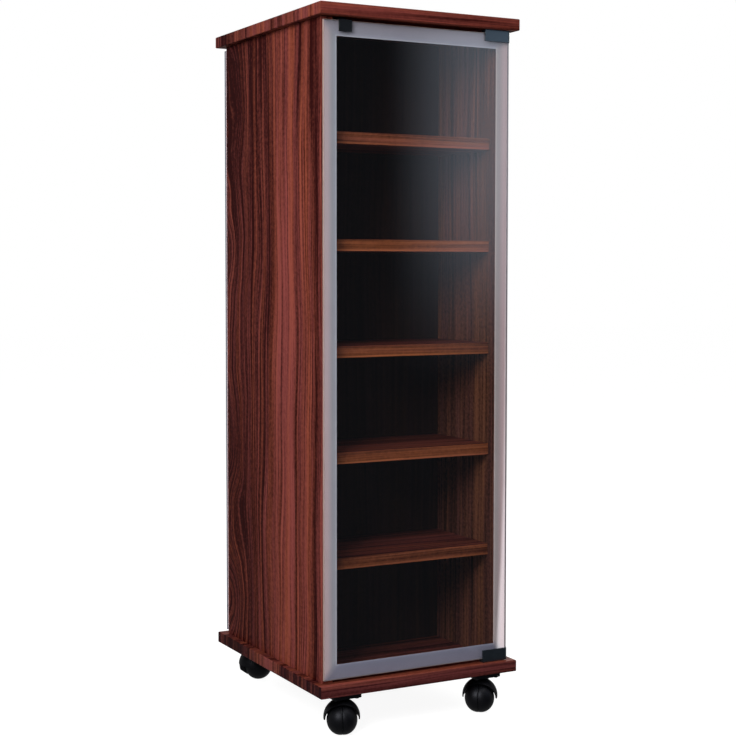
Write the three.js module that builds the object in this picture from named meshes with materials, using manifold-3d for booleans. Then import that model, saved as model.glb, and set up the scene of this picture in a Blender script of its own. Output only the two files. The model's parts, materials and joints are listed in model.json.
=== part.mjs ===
// A double-sided storage tower for compact discs and DVDs: a tall, narrow case of veneered board that is
// shelved from both sides of a thin centre partition, closed front and back by frameless glass doors on
// pivot hinges, and carried on four ball castors.
//
// The frame is +Z up, with the front door towards -Y. The origin is on the floor, under the centre of the
// case. Lengths are in millimetres and angles in degrees.

import * as THREE from "three";
import { mergeVertices } from "three/addons/utils/BufferGeometryUtils.js";
import Module from "manifold-3d";

const wasm = await Module();
wasm.setup();

// Boards of the case
const bodyWidth = 290;
const bodyDepth = 320;
const boardThickness = 16;
const panelThickness = 16;
const shelfThickness = 16;
const partitionThickness = 3;
const partitionHousing = 6;
const boardSideOverhang = 10;
const boardFrontOverhang = 17.5;
const boardArris = 0.8;

// Compartments, set out round a disc case that stands on its shelf
const discCaseHeight = 125;
const discCaseHeadroom = 3;
const endCompartmentHeight = 148;
const shelfRecess = 18;
const shelfLevels = 5;

// Dowels of the case
const dowelRadius = 4;
const dowelReach = 9;
const dowelEndRoom = 1;
const panelDowelInset = 62;
const shelfDowelInset = 26;

// Glass doors
const glassThickness = 4;
const glassArris = 0.5;
const doorStandoff = 3;
const doorEndGap = 5;
const doorHingeEdgeShortfall = 1;

// Pivot hinges
const pivotEdgeDistance = 3;
const clampLength = 37;
const clampThickness = 9;
const clampHeight = 13.5;
const clampRunningGap = 0.5;
const pivotPinRadius = 1.75;
const pivotPinReach = 9.5;
const bushRadius = 4.5;
const bushLength = 11;
const setScrewRadius = 2;
const setScrewInset = 26;
const setScrewSocketRadius = 1.15;
const setScrewSocketDepth = 1.1;

// Push latches and the catch plates that they hold
const catchWidth = 19.5;
const catchDrop = 14.5;
const catchWall = 1.1;
const catchEdgeDistance = 21.5;
const latchSetback = 3;
const latchLength = 42;
const latchWidth = 15;
const latchAxisDrop = 8;
const latchBoreDepth = 26;
const latchEarSpan = 28;
const latchEarLength = 14;
const latchEarThickness = 3;
const latchScrewRadius = 1.75;
const plungerRadius = 3.75;
const plungerLength = 25;
const plungerChamfer = 1;

// Ball castors
const castorHeight = 56;
const castorSideInset = 43.5;
const castorFrontInset = 26;
const castorTrail = 11;
const wheelRadius = 20.5;
const wheelPairWidth = 42;
const treadWidth = 1.5;
const treadChamfer = 0.3;
const axleRadius = 2.5;
const axleEndRoom = 0.6;
const axleReach = 12;
const hoodRadius = 25;
const hoodWall = 1.7;
const hoodSetback = 5;
const hoodLift = 2.6;
const hoodLipDrop = 0.6;
const hoodFrontTilt = 66;
const hoodUnderRise = 8;
const hoodWebThickness = 0.8;
const hoodWebBossRadius = 5;
const keelThickness = 6;
const keelGap = 0.8;
const keelEndRise = 34;
const keelEndDrop = 24.4;
const keelFootDrop = 16;
const neckRadius = 11.5;
const kingpinRadius = 4;
const kingpinBossRadius = 8;
const kingpinBossGap = 1.2;
const kingpinBoreFloor = 1.5;
const plateSide = 42;
const plateThickness = 6;
const plateCornerRadius = 3;
const plateScrewRadius = 2.25;
const plateScrewInset = 5.5;
const castorHeadings = {
  front_left: 247,
  front_right: 231,
  rear_left: 339,
  rear_right: 53,
};

// Clearances that every fit shares, and how far a cut runs past what it cuts
const seatGap = 0.2;
const runningGap = 0.3;
const overrun = 5;

// Facets of the round work
const dowelSides = 8;
const smallRoundSides = 12;
const pinSides = 16;
const neckSides = 16;
const wheelSides = 22;
const domeSteps = 5;
const hoodSides = 18;
const hoodRings = 11;
const socketSides = 6;
const cornerSteps = 2;

// Places that the sizes above lead to
const boardWidth = bodyWidth + 2 * boardSideOverhang;
const boardDepth = bodyDepth + 2 * boardFrontOverhang;
const compartmentHeight = discCaseHeight + discCaseHeadroom;
const shelfPitch = compartmentHeight + shelfThickness;
const innerHeight =
  2 * endCompartmentHeight + (shelfLevels - 1) * compartmentHeight + shelfLevels * shelfThickness;
const baseTop = castorHeight + boardThickness;
const topUnderside = baseTop + innerHeight;
const towerHeight = topUnderside + boardThickness;
const innerHalfWidth = bodyWidth / 2 - panelThickness;
const shelfBack = partitionThickness / 2 + seatGap;
const shelfFront = bodyDepth / 2 - shelfRecess;
const dowelHoleRadius = dowelRadius + seatGap;
const dowelHoleDepth = dowelReach + dowelEndRoom;
const glassPlane = bodyDepth / 2 + doorStandoff + glassThickness / 2;
const paneFreeEdge = -bodyWidth / 2;
const paneHingeEdge = bodyWidth / 2 - doorHingeEdgeShortfall;
const pivotX = paneHingeEdge - pivotEdgeDistance;
const catchX = paneFreeEdge + catchEdgeDistance + catchWidth / 2;
const latchAxisZ = topUnderside - latchAxisDrop;
const plateUnderside = castorHeight - plateThickness;
const neckTop = plateUnderside - runningGap;
const kingpinBossFoot = 2 * wheelRadius + kingpinBossGap;
const kingpinBoreBottom = kingpinBossFoot + kingpinBoreFloor;

const finishes = {
  veneer: { color: 0x5c2a22, roughness: 0.5, metalness: 0 },
  hardboard: { color: 0x3a2019, roughness: 0.8, metalness: 0 },
  glass: { color: 0xc9d6d6, roughness: 0.05, metalness: 0, transparent: true, opacity: 0.3 },
  blackMetal: { color: 0x181c20, roughness: 0.4, metalness: 0.6 },
  steel: { color: 0xa0a3a6, roughness: 0.35, metalness: 1 },
  paleNylon: { color: 0xd8d4c8, roughness: 0.6, metalness: 0 },
  blackPlastic: { color: 0x0c0c0e, roughness: 0.35, metalness: 0 },
};

// A block between two opposite corners, given in any order.
function block([xa, ya, za], [xb, yb, zb]) {
  const box = new THREE.BoxGeometry(Math.abs(xb - xa), Math.abs(yb - ya), Math.abs(zb - za));
  return box.translate((xa + xb) / 2, (ya + yb) / 2, (za + zb) / 2);
}

// A block whose edges have a small chamfer, standing on the lower of its two heights.
function arrisedBlock(width, depth, [zLow, zHigh], arris) {
  const outline = new THREE.Shape();
  outline.moveTo(-width / 2, -depth / 2);
  outline.lineTo(width / 2, -depth / 2);
  outline.lineTo(width / 2, depth / 2);
  outline.lineTo(-width / 2, depth / 2);
  outline.closePath();
  const slab = new THREE.ExtrudeGeometry(outline, {
    depth: zHigh - zLow - 2 * arris,
    bevelSize: arris,
    bevelThickness: arris,
    bevelOffset: -arris,
    bevelSegments: 1,
  });
  return slab.translate(0, 0, zLow + arris);
}

// A round bar along one axis, between two places on that axis given in any order.
function bar(axis, radius, [from, to], [x, y, z], sides) {
  const round = new THREE.CylinderGeometry(radius, radius, Math.abs(to - from), sides);
  const middle = (from + to) / 2;
  if (axis === "x") return round.rotateZ(Math.PI / 2).translate(middle, y, z);
  if (axis === "y") return round.translate(x, middle, z);
  return round.rotateX(Math.PI / 2).translate(x, y, middle);
}

// A geometry as a solid that can be joined and cut.
function solidOf(geometry) {
  const bare = geometry.clone();
  bare.deleteAttribute("normal");
  bare.deleteAttribute("uv");
  const merged = mergeVertices(bare);
  const mesh = new wasm.Mesh({
    numProp: 3,
    vertProperties: new Float32Array(merged.attributes.position.array),
    triVerts: new Uint32Array(merged.index.array),
  });
  return new wasm.Manifold(mesh);
}

// The first geometry with others joined to it and then others cut from it.
function worked(base, { join = [], cut = [] }) {
  let solid = solidOf(base);
  for (const piece of join) solid = solid.add(solidOf(piece));
  for (const piece of cut) solid = solid.subtract(solidOf(piece));
  const mesh = solid.getMesh();
  const geometry = new THREE.BufferGeometry();
  geometry.setAttribute("position", new THREE.BufferAttribute(new Float32Array(mesh.vertProperties), 3));
  geometry.setIndex(new THREE.BufferAttribute(new Uint32Array(mesh.triVerts), 1));
  geometry.computeVertexNormals();
  return geometry;
}

function addMesh(parent, name, geometry, finish) {
  const mesh = new THREE.Mesh(geometry, new THREE.MeshStandardMaterial(finishes[finish]));
  mesh.name = name;
  parent.add(mesh);
  return mesh;
}

// The four panel joints take two dowels at each end of each side panel.
function panelDowelPlaces() {
  const y = bodyDepth / 2 - panelDowelInset;
  return [-y, y];
}

// A shelf's underside, counted from the lowest level.
function shelfUnderside(level) {
  return baseTop + endCompartmentHeight + level * shelfPitch;
}

function shelfDowelPlaces() {
  return [shelfBack + shelfDowelInset, shelfFront - shelfDowelInset];
}

// The partition's own block, or the groove that takes it when it is grown by the seat gap.
function partitionBlock(grow) {
  const halfWidth = innerHalfWidth + partitionHousing - seatGap + grow;
  const halfThickness = partitionThickness / 2 + grow;
  const low = baseTop - partitionHousing + seatGap - grow;
  const high = topUnderside + partitionHousing - seatGap + grow;
  return block([-halfWidth, -halfThickness, low], [halfWidth, halfThickness, high]);
}

// Blind holes in a board for the panel dowels and the two pivot bushes; end is 1 at the top, -1 at the base.
function boardHoles(end) {
  const face = end > 0 ? topUnderside : baseTop;
  const panelMiddle = bodyWidth / 2 - panelThickness / 2;
  const holes = [];
  for (const x of [-panelMiddle, panelMiddle]) {
    for (const y of panelDowelPlaces()) {
      const span = [face - end * overrun, face + end * dowelHoleDepth];
      holes.push(bar("z", dowelHoleRadius, span, [x, y, 0], dowelSides));
    }
  }
  for (const y of [-glassPlane, glassPlane]) {
    const span = [face - end * overrun, face + end * (bushLength + seatGap)];
    holes.push(bar("z", bushRadius + seatGap, span, [pivotX, y, 0], pinSides));
  }
  return holes;
}

function addBoards(tower) {
  const base = arrisedBlock(boardWidth, boardDepth, [castorHeight, baseTop], boardArris);
  const top = arrisedBlock(boardWidth, boardDepth, [topUnderside, towerHeight], boardArris);
  const groove = partitionBlock(seatGap);
  addMesh(tower, "base_board", worked(base, { cut: [...boardHoles(-1), groove] }), "veneer");
  addMesh(tower, "top_board", worked(top, { cut: [...boardHoles(1), groove] }), "veneer");
}

// A side panel with its end dowels glued in, and the blind holes and the groove of its inner face.
function sidePanel(side) {
  const outer = (side * bodyWidth) / 2;
  const inner = side * innerHalfWidth;
  const low = baseTop + seatGap;
  const high = topUnderside - seatGap;
  const panel = block([outer, -bodyDepth / 2, low], [inner, bodyDepth / 2, high]);
  const dowels = [];
  for (const y of panelDowelPlaces()) {
    const middle = (outer + inner) / 2;
    dowels.push(bar("z", dowelRadius, [baseTop - dowelReach, low + overrun], [middle, y, 0], dowelSides));
    dowels.push(bar("z", dowelRadius, [high - overrun, topUnderside + dowelReach], [middle, y, 0], dowelSides));
  }
  const holes = [];
  for (let level = 0; level < shelfLevels; level += 1) {
    const z = shelfUnderside(level) + shelfThickness / 2;
    for (const y of shelfDowelPlaces()) {
      const span = [inner - side * overrun, inner + side * dowelHoleDepth];
      holes.push(bar("x", dowelHoleRadius, span, [0, -y, z], dowelSides));
      holes.push(bar("x", dowelHoleRadius, span, [0, y, z], dowelSides));
    }
  }
  return worked(panel, { join: dowels, cut: [...holes, partitionBlock(seatGap)] });
}

// A half-depth shelf with its four dowels; facing is -1 on the front side and 1 on the rear side.
function shelf(level, facing) {
  const underside = shelfUnderside(level);
  const halfLength = innerHalfWidth - seatGap;
  const plank = block(
    [-halfLength, facing * shelfFront, underside],
    [halfLength, facing * shelfBack, underside + shelfThickness],
  );
  const reach = innerHalfWidth + dowelReach;
  const dowels = [];
  for (const y of shelfDowelPlaces()) {
    const place = [0, facing * y, underside + shelfThickness / 2];
    dowels.push(bar("x", dowelRadius, [-reach, overrun - halfLength], place, dowelSides));
    dowels.push(bar("x", dowelRadius, [halfLength - overrun, reach], place, dowelSides));
  }
  return worked(plank, { join: dowels });
}

function addShelves(tower) {
  for (let level = 0; level < shelfLevels; level += 1) {
    addMesh(tower, `front_shelf_${level + 1}`, shelf(level, -1), "veneer");
    addMesh(tower, `rear_shelf_${level + 1}`, shelf(level, 1), "veneer");
  }
}

function glassPane(facing) {
  const width = paneHingeEdge - paneFreeEdge;
  const span = [baseTop + doorEndGap, topUnderside - doorEndGap];
  const pane = arrisedBlock(width, glassThickness, span, glassArris);
  return pane.translate((paneFreeEdge + paneHingeEdge) / 2, facing * glassPlane, 0);
}

// One hinge, at the top or the base of one door: a clamp on the glass with a round end about the pivot
// pin, its set screw, the pin, and the bush in the board that the pin turns in.
function hinge(facing, end) {
  const y = facing * glassPlane;
  const boardFace = end > 0 ? topUnderside : baseTop;
  const below = (distance) => boardFace - end * distance;
  const clampFace = clampRunningGap;
  const clampFoot = clampRunningGap + clampHeight;
  const half = clampThickness / 2;
  const outline = new THREE.Shape();
  outline.moveTo(0, half);
  outline.lineTo(-clampLength, half);
  outline.lineTo(-clampLength, -half);
  outline.lineTo(0, -half);
  outline.absarc(0, 0, half, -Math.PI / 2, Math.PI / 2, false);
  const body = new THREE.ExtrudeGeometry(outline, {
    depth: clampHeight,
    bevelEnabled: false,
    curveSegments: smallRoundSides / 2,
  });
  body.translate(pivotX, y, Math.min(below(clampFace), below(clampFoot)));

  const slotHalf = glassThickness / 2 + seatGap;
  const slot = block(
    [pivotX - clampLength - overrun, y - slotHalf, below(doorEndGap - seatGap)],
    [paneHingeEdge + seatGap, y + slotHalf, below(clampFoot + overrun)],
  );
  const pinSpan = [below(doorEndGap - seatGap), below(-pivotPinReach)];
  const pinHole = bar("z", pivotPinRadius + seatGap, [below(-overrun), below(doorEndGap)], [pivotX, y, 0], pinSides);
  const pin = bar("z", pivotPinRadius, pinSpan, [pivotX, y, 0], pinSides);

  const bushSpan = [boardFace, below(-bushLength)];
  const bushBore = bar(
    "z",
    pivotPinRadius + runningGap,
    [below(overrun), below(-bushLength - overrun)],
    [pivotX, y, 0],
    pinSides,
  );
  const bush = worked(bar("z", bushRadius, bushSpan, [pivotX, y, 0], pinSides), { cut: [bushBore] });

  // The set screw goes through the cheek that faces into the case.
  const inward = -facing;
  const cheekFace = y + inward * half;
  const glassFace = y + inward * (glassThickness / 2);
  const lapMiddle = below((doorEndGap + clampFoot) / 2);
  const screwPlace = [pivotX - setScrewInset, 0, lapMiddle];
  const screwHole = bar(
    "y",
    setScrewRadius + seatGap,
    [y, cheekFace + inward * overrun],
    screwPlace,
    smallRoundSides,
  );
  const screwSpan = [glassFace + inward * seatGap, cheekFace - inward * seatGap];
  const screw = worked(bar("y", setScrewRadius, screwSpan, screwPlace, smallRoundSides), {
    cut: [
      bar(
        "y",
        setScrewSocketRadius,
        [screwSpan[1] - inward * setScrewSocketDepth, screwSpan[1] + inward * overrun],
        screwPlace,
        socketSides,
      ),
    ],
  });
  return { clamp: worked(body, { cut: [slot, pinHole, screwHole] }), pin, bush, screw };
}

// A folded plate that grips the free top corner of the glass: an outer leaf, a fold over the edge and an
// inner leaf that the latch holds.
function catchPlate(facing) {
  const y = facing * glassPlane;
  const innerHalf = glassThickness / 2 + seatGap;
  const outerHalf = innerHalf + catchWall;
  const glassTop = topUnderside - doorEndGap;
  const left = catchX - catchWidth / 2;
  const right = catchX + catchWidth / 2;
  const foot = glassTop - catchDrop;
  const sleeve = block([left, y - outerHalf, foot], [right, y + outerHalf, glassTop + seatGap + catchWall]);
  const mouth = block(
    [left - overrun, y - innerHalf, foot - overrun],
    [right + overrun, y + innerHalf, glassTop + seatGap],
  );
  return worked(sleeve, { cut: [mouth] });
}

// A push latch under the top board: a housing with a half-round belly and two screw ears, and its plunger.
function latch(facing) {
  const mouthY = facing * (bodyDepth / 2 - latchSetback);
  const tailY = mouthY - facing * latchLength;
  const radius = latchWidth / 2;
  const crown = topUnderside - seatGap;
  const outline = new THREE.Shape();
  outline.moveTo(radius, crown - latchAxisZ);
  outline.lineTo(-radius, crown - latchAxisZ);
  outline.lineTo(-radius, 0);
  outline.absarc(0, 0, radius, Math.PI, 2 * Math.PI, false);
  outline.closePath();
  const belly = new THREE.ExtrudeGeometry(outline, {
    depth: latchLength,
    bevelEnabled: false,
    curveSegments: smallRoundSides / 2,
  });
  // The outline stands upright, so the extrusion is turned to run along Y.
  belly.rotateX(Math.PI / 2).translate(catchX, Math.max(mouthY, tailY), latchAxisZ);

  const earMiddle = (mouthY + tailY) / 2;
  const ears = block(
    [catchX - latchEarSpan / 2, earMiddle - latchEarLength / 2, crown - latchEarThickness],
    [catchX + latchEarSpan / 2, earMiddle + latchEarLength / 2, crown],
  );
  const screwOffset = (latchWidth / 2 + latchEarSpan / 2) / 2;
  const screwHoles = [-screwOffset, screwOffset].map((offset) =>
    bar(
      "z",
      latchScrewRadius,
      [crown - latchEarThickness - overrun, crown + overrun],
      [catchX + offset, earMiddle, 0],
      smallRoundSides,
    ),
  );
  const bore = bar(
    "y",
    plungerRadius + runningGap,
    [mouthY + facing * overrun, mouthY - facing * latchBoreDepth],
    [catchX, 0, latchAxisZ],
    pinSides,
  );
  const housing = worked(belly, { join: [ears], cut: [bore, ...screwHoles] });

  const catchFace = facing * (glassPlane - glassThickness / 2 - seatGap - catchWall);
  const tipY = catchFace - facing * runningGap;
  const plunger = new THREE.LatheGeometry(
    [
      new THREE.Vector2(0, -plungerLength),
      new THREE.Vector2(plungerRadius, -plungerLength),
      new THREE.Vector2(plungerRadius, -plungerChamfer),
      new THREE.Vector2(plungerRadius - plungerChamfer, 0),
      new THREE.Vector2(0, 0),
    ],
    pinSides,
  );
  // A lathe turns about Y with its tip at the origin; the rear plunger is turned to face the other way.
  if (facing < 0) plunger.rotateZ(Math.PI);
  plunger.translate(catchX, tipY, latchAxisZ);
  return { housing, plunger };
}

function addDoor(tower, sideName, facing) {
  addMesh(tower, `${sideName}_glass_pane`, glassPane(facing), "glass");
  for (const [endName, end] of [
    ["top", 1],
    ["bottom", -1],
  ]) {
    const { clamp, pin, bush, screw } = hinge(facing, end);
    addMesh(tower, `${sideName}_${endName}_hinge_clamp`, clamp, "blackMetal");
    addMesh(tower, `${sideName}_${endName}_hinge_pin`, pin, "steel");
    addMesh(tower, `${sideName}_${endName}_hinge_bush`, bush, "paleNylon");
    addMesh(tower, `${sideName}_${endName}_hinge_set_screw`, screw, "blackMetal");
  }
  addMesh(tower, `${sideName}_catch_plate`, catchPlate(facing), "blackMetal");
  const { housing, plunger } = latch(facing);
  addMesh(tower, `${sideName}_latch_housing`, housing, "blackPlastic");
  addMesh(tower, `${sideName}_latch_plunger`, plunger, "blackPlastic");
}

// The fixed plate of a castor, with rounded corners, four screw holes and the kingpin riveted into it. A
// castor's own frame has its origin on the floor under the swivel axis, +X towards the wheels and the axle
// along Y.
function castorPlate() {
  const half = plateSide / 2;
  const straight = half - plateCornerRadius;
  const outline = new THREE.Shape();
  outline.moveTo(half, -straight);
  outline.absarc(straight, straight, plateCornerRadius, 0, Math.PI / 2, false);
  outline.absarc(-straight, straight, plateCornerRadius, Math.PI / 2, Math.PI, false);
  outline.absarc(-straight, -straight, plateCornerRadius, Math.PI, -Math.PI / 2, false);
  outline.absarc(straight, -straight, plateCornerRadius, -Math.PI / 2, 0, false);
  const plate = new THREE.ExtrudeGeometry(outline, {
    depth: plateThickness - seatGap,
    bevelEnabled: false,
    curveSegments: cornerSteps,
  });
  plate.translate(0, 0, plateUnderside);
  const kingpinSpan = [kingpinBoreBottom + runningGap, castorHeight - 2 * seatGap];
  const kingpin = bar("z", kingpinRadius, kingpinSpan, [0, 0, 0], pinSides);
  const screwPlace = half - plateScrewInset;
  const holes = [];
  for (const x of [-screwPlace, screwPlace]) {
    for (const y of [-screwPlace, screwPlace]) {
      const span = [plateUnderside - overrun, castorHeight + overrun];
      holes.push(bar("z", plateScrewRadius, span, [x, y, 0], dowelSides));
    }
  }
  return worked(plate, { join: [kingpin], cut: holes });
}

// The hood: a thin ball-shaped shell behind and above the wheels, the neck that turns on the kingpin, and
// the web between the wheels that holds the axle. Two planes that meet just below the axle open the shell,
// so its two lips end in points. Behind the wheels the web thickens into a keel, and both reach further down
// than the shell, to a slanting end. The hood is worked about the axle and then moved to it.
function castorHood() {
  const centre = [-hoodSetback, 0, hoodLift];
  const shell = new THREE.SphereGeometry(hoodRadius, hoodSides, hoodRings).translate(...centre);
  const hollow = new THREE.SphereGeometry(hoodRadius - hoodWall, hoodSides, hoodRings).translate(...centre);
  const swivelAxis = [-castorTrail, 0, 0];
  const above = (height) => height - wheelRadius;
  const neck = bar("z", neckRadius, [0, above(neckTop)], swivelAxis, neckSides);
  const bossSpan = [above(kingpinBossFoot), above(neckTop)];
  const boss = bar("z", kingpinBossRadius, bossSpan, swivelAxis, pinSides);
  const boreSpan = [above(kingpinBoreBottom), above(neckTop + overrun)];
  const bore = bar("z", kingpinRadius + runningGap, boreSpan, swivelAxis, pinSides);
  const webSpan = [-hoodWebThickness / 2, hoodWebThickness / 2];
  const web = bar("y", hoodRadius - hoodWall / 2, webSpan, centre, hoodSides);
  const webBoss = bar("y", hoodWebBossRadius, webSpan, [0, 0, 0], pinSides);
  const axleHole = bar("y", axleRadius + seatGap, [-overrun, overrun], [0, 0, 0], pinSides);

  const reach = 2 * (hoodRadius + hoodSetback);
  const front = block([0, -reach, -reach], [reach, reach, reach]);
  front.rotateY(Math.PI / 2 - THREE.MathUtils.degToRad(hoodFrontTilt)).translate(0, 0, -hoodLipDrop);
  const under = block([-reach, -reach, -reach], [reach, reach, 0]);
  under.rotateY(THREE.MathUtils.degToRad(hoodUnderRise)).translate(0, 0, -hoodLipDrop);
  const keelEnd = block([-reach, -reach, -reach], [reach, reach, 0]);
  keelEnd.rotateY(THREE.MathUtils.degToRad(keelEndRise)).translate(0, 0, -keelEndDrop);
  const keelFoot = block([-reach, -reach, -reach], [reach, reach, -keelFootDrop]);
  const keelSpan = [-keelThickness / 2, keelThickness / 2];
  const keelBlank = bar("y", hoodRadius - hoodWall / 2, keelSpan, centre, hoodSides);
  const wheelRoom = bar("y", wheelRadius + keelGap, [-overrun, overrun], [0, 0, 0], hoodSides);
  const keel = worked(keelBlank, { cut: [wheelRoom] });
  const spine = worked(web, { join: [keel], cut: [front, keelEnd, keelFoot] });
  const cover = worked(shell, { join: [neck], cut: [hollow] });
  const opened = worked(cover, { join: [boss], cut: [front, under] });
  const inside = worked(opened, { join: [spine], cut: [bore] });
  const hood = worked(inside, { join: [webBoss], cut: [axleHole] });
  return hood.translate(castorTrail, 0, wheelRadius);
}

// One wheel of the pair, turned about the axle: a narrow tread, then a dome that closes the outer end.
// hand is 1 on the +Y side of the web and -1 on the other.
function castorWheel(hand) {
  const innerFace = hoodWebThickness / 2 + runningGap;
  const treadEnd = innerFace + treadWidth;
  const domeHeight = wheelPairWidth / 2 - treadEnd;
  const boreEnd = axleReach + axleEndRoom;
  const boreRadius = axleRadius + runningGap;
  const profile = [
    new THREE.Vector2(0, boreEnd),
    new THREE.Vector2(boreRadius, boreEnd),
    new THREE.Vector2(boreRadius, innerFace),
    new THREE.Vector2(wheelRadius - treadChamfer, innerFace),
    new THREE.Vector2(wheelRadius, innerFace + treadChamfer),
  ];
  for (let step = 0; step <= domeSteps; step += 1) {
    const angle = ((Math.PI / 2) * step) / domeSteps;
    const radius = step === domeSteps ? 0 : wheelRadius * Math.cos(angle);
    profile.push(new THREE.Vector2(radius, treadEnd + domeHeight * Math.sin(angle)));
  }
  const wheel = new THREE.LatheGeometry(profile, wheelSides);
  if (hand < 0) wheel.rotateX(Math.PI);
  return wheel.translate(castorTrail, 0, wheelRadius);
}

function addCastor(tower, name, [x, y]) {
  const castor = new THREE.Group();
  castor.position.set(x, y, 0);
  addMesh(castor, `${name}_castor_plate`, castorPlate(), "blackPlastic");
  const swivel = new THREE.Group();
  swivel.rotation.z = THREE.MathUtils.degToRad(castorHeadings[name]);
  addMesh(swivel, `${name}_castor_hood`, castorHood(), "blackPlastic");
  const axlePlace = [castorTrail, 0, wheelRadius];
  const axle = bar("y", axleRadius, [-axleReach, axleReach], axlePlace, pinSides);
  addMesh(swivel, `${name}_castor_axle`, axle, "steel");
  addMesh(swivel, `${name}_castor_wheel_a`, castorWheel(1), "blackPlastic");
  addMesh(swivel, `${name}_castor_wheel_b`, castorWheel(-1), "blackPlastic");
  castor.add(swivel);
  tower.add(castor);
}

function addCastors(tower) {
  const x = boardWidth / 2 - castorSideInset;
  const y = boardDepth / 2 - castorFrontInset;
  addCastor(tower, "front_left", [-x, -y]);
  addCastor(tower, "front_right", [x, -y]);
  addCastor(tower, "rear_left", [-x, y]);
  addCastor(tower, "rear_right", [x, y]);
}

const tower = new THREE.Group();
addBoards(tower);
addMesh(tower, "left_side_panel", sidePanel(-1), "veneer");
addMesh(tower, "right_side_panel", sidePanel(1), "veneer");
addMesh(tower, "centre_partition", partitionBlock(0), "hardboard");
addShelves(tower);
addDoor(tower, "front", -1);
addDoor(tower, "rear", 1);
addCastors(tower);

export default tower;
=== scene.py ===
# %% [markdown]
# A tall storage tower on castors, with a glass door at its front and another at its back, dressed for its
# picture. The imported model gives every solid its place, in metres, with +Z up, the front door towards -Y and
# the floor at z = 0. Each step below adds the shapes and finishes that a camera sees: rounded edges, satin
# print, wood-grain foil, glass, lacquer and moulded plastic.

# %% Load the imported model
import json
import math

import bmesh
import bpy
from mathutils import Matrix, Vector


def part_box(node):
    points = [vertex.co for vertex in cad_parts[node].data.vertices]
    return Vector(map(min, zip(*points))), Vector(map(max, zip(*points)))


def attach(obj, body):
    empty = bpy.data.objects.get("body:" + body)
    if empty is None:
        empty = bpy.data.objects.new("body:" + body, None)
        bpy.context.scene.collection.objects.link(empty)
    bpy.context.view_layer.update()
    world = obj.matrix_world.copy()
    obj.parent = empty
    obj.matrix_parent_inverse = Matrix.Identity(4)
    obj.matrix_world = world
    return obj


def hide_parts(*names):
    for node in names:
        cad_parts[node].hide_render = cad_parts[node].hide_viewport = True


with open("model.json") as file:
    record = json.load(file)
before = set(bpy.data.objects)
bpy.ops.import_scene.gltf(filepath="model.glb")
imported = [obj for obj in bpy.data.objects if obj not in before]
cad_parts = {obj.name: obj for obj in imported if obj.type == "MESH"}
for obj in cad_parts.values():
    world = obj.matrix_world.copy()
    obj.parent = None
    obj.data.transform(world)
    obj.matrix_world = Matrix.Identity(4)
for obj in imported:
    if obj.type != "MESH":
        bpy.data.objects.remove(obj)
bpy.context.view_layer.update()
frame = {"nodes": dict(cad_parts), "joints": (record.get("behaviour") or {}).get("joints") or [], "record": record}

nodes = frame["nodes"]
joints = {joint["name"]: joint for joint in frame["joints"]}
MM = 0.001

# %% [markdown]
# The camera comes first, because everything is judged through it. The product picture was taken with a long
# lens, a little above the middle of the tower, from the front left. The lens is given by its focal length in
# pixels, and a small shift moves the frame, as on a view camera, so that upright edges stay upright.

# %% Camera
IMAGE_PIXELS = 736
SENSOR_WIDTH = 36.0
FOCAL_PIXELS = 1502.0
AZIMUTH, ELEVATION, ROLL = (math.radians(angle) for angle in (27.97, 2.86, 0.018))
TARGET = Vector((0.0, 0.0, 0.516))
DISTANCE = 2.201
SHIFT_PIXELS = (6.3, -22.4)


def camera_axes():
    """The camera's right, up and forward directions."""
    forward = Vector((
        math.sin(AZIMUTH) * math.cos(ELEVATION),
        math.cos(AZIMUTH) * math.cos(ELEVATION),
        -math.sin(ELEVATION),
    ))
    level = Vector((math.cos(AZIMUTH), -math.sin(AZIMUTH), 0.0))
    upright = level.cross(forward)
    right = math.cos(ROLL) * level + math.sin(ROLL) * upright
    return right, right.cross(forward), forward


right, up, forward = camera_axes()
camera_data = bpy.data.cameras.new("camera")
camera_data.sensor_width = SENSOR_WIDTH
camera_data.lens = FOCAL_PIXELS * SENSOR_WIDTH / IMAGE_PIXELS
camera_data.shift_x = SHIFT_PIXELS[0] / IMAGE_PIXELS
camera_data.shift_y = SHIFT_PIXELS[1] / IMAGE_PIXELS
camera_data.clip_end = 100.0
camera = bpy.data.objects.new("camera", camera_data)
camera.matrix_world = Matrix.Translation(TARGET - forward * DISTANCE) @ Matrix(
    (right, up, -forward)
).transposed().to_4x4()
bpy.context.scene.collection.objects.link(camera)
bpy.context.scene.camera = camera
bpy.context.scene.view_settings.view_transform = "Standard"
print("lens", round(camera_data.lens, 1), "mm at", [round(c, 3) for c in camera.matrix_world.translation])

# %% [markdown]
# A material is a small tree of nodes, and a few helpers keep the recipes below short. The main one makes a
# node, sets its properties and fills its input sockets, each with a value or with a link from another node.
# Most of the others make one common kind of node and give back its result.

# %% Node helpers
WHITE = (1.0, 1.0, 1.0)


def fill_socket(tree, socket, value):
    """An input socket gets a link from another node's output, or a value. A colour becomes an opaque one."""
    if isinstance(value, bpy.types.NodeSocket):
        tree.links.new(value, socket)
    elif socket.type == "RGBA":
        socket.default_value = (*value, 1.0)
    else:
        socket.default_value = value


def add_node(tree, kind, sockets=None, **properties):
    """A new node in a tree. sockets says what goes into its inputs, by their names or numbers."""
    made = tree.nodes.new("ShaderNode" + kind)
    for name, value in properties.items():
        setattr(made, name, value)
    for key, value in (sockets or {}).items():
        fill_socket(tree, made.inputs[key], value)
    return made


def math_of(tree, operation, first, second=0.0, clamp=False):
    """The result of a Math node."""
    return add_node(tree, "Math", {0: first, 1: second}, operation=operation, use_clamp=clamp).outputs[0]


def plus(tree, first, second):
    return math_of(tree, "ADD", first, second)


def minus(tree, first, second):
    return math_of(tree, "SUBTRACT", first, second)


def times(tree, first, second):
    return math_of(tree, "MULTIPLY", first, second)


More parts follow.
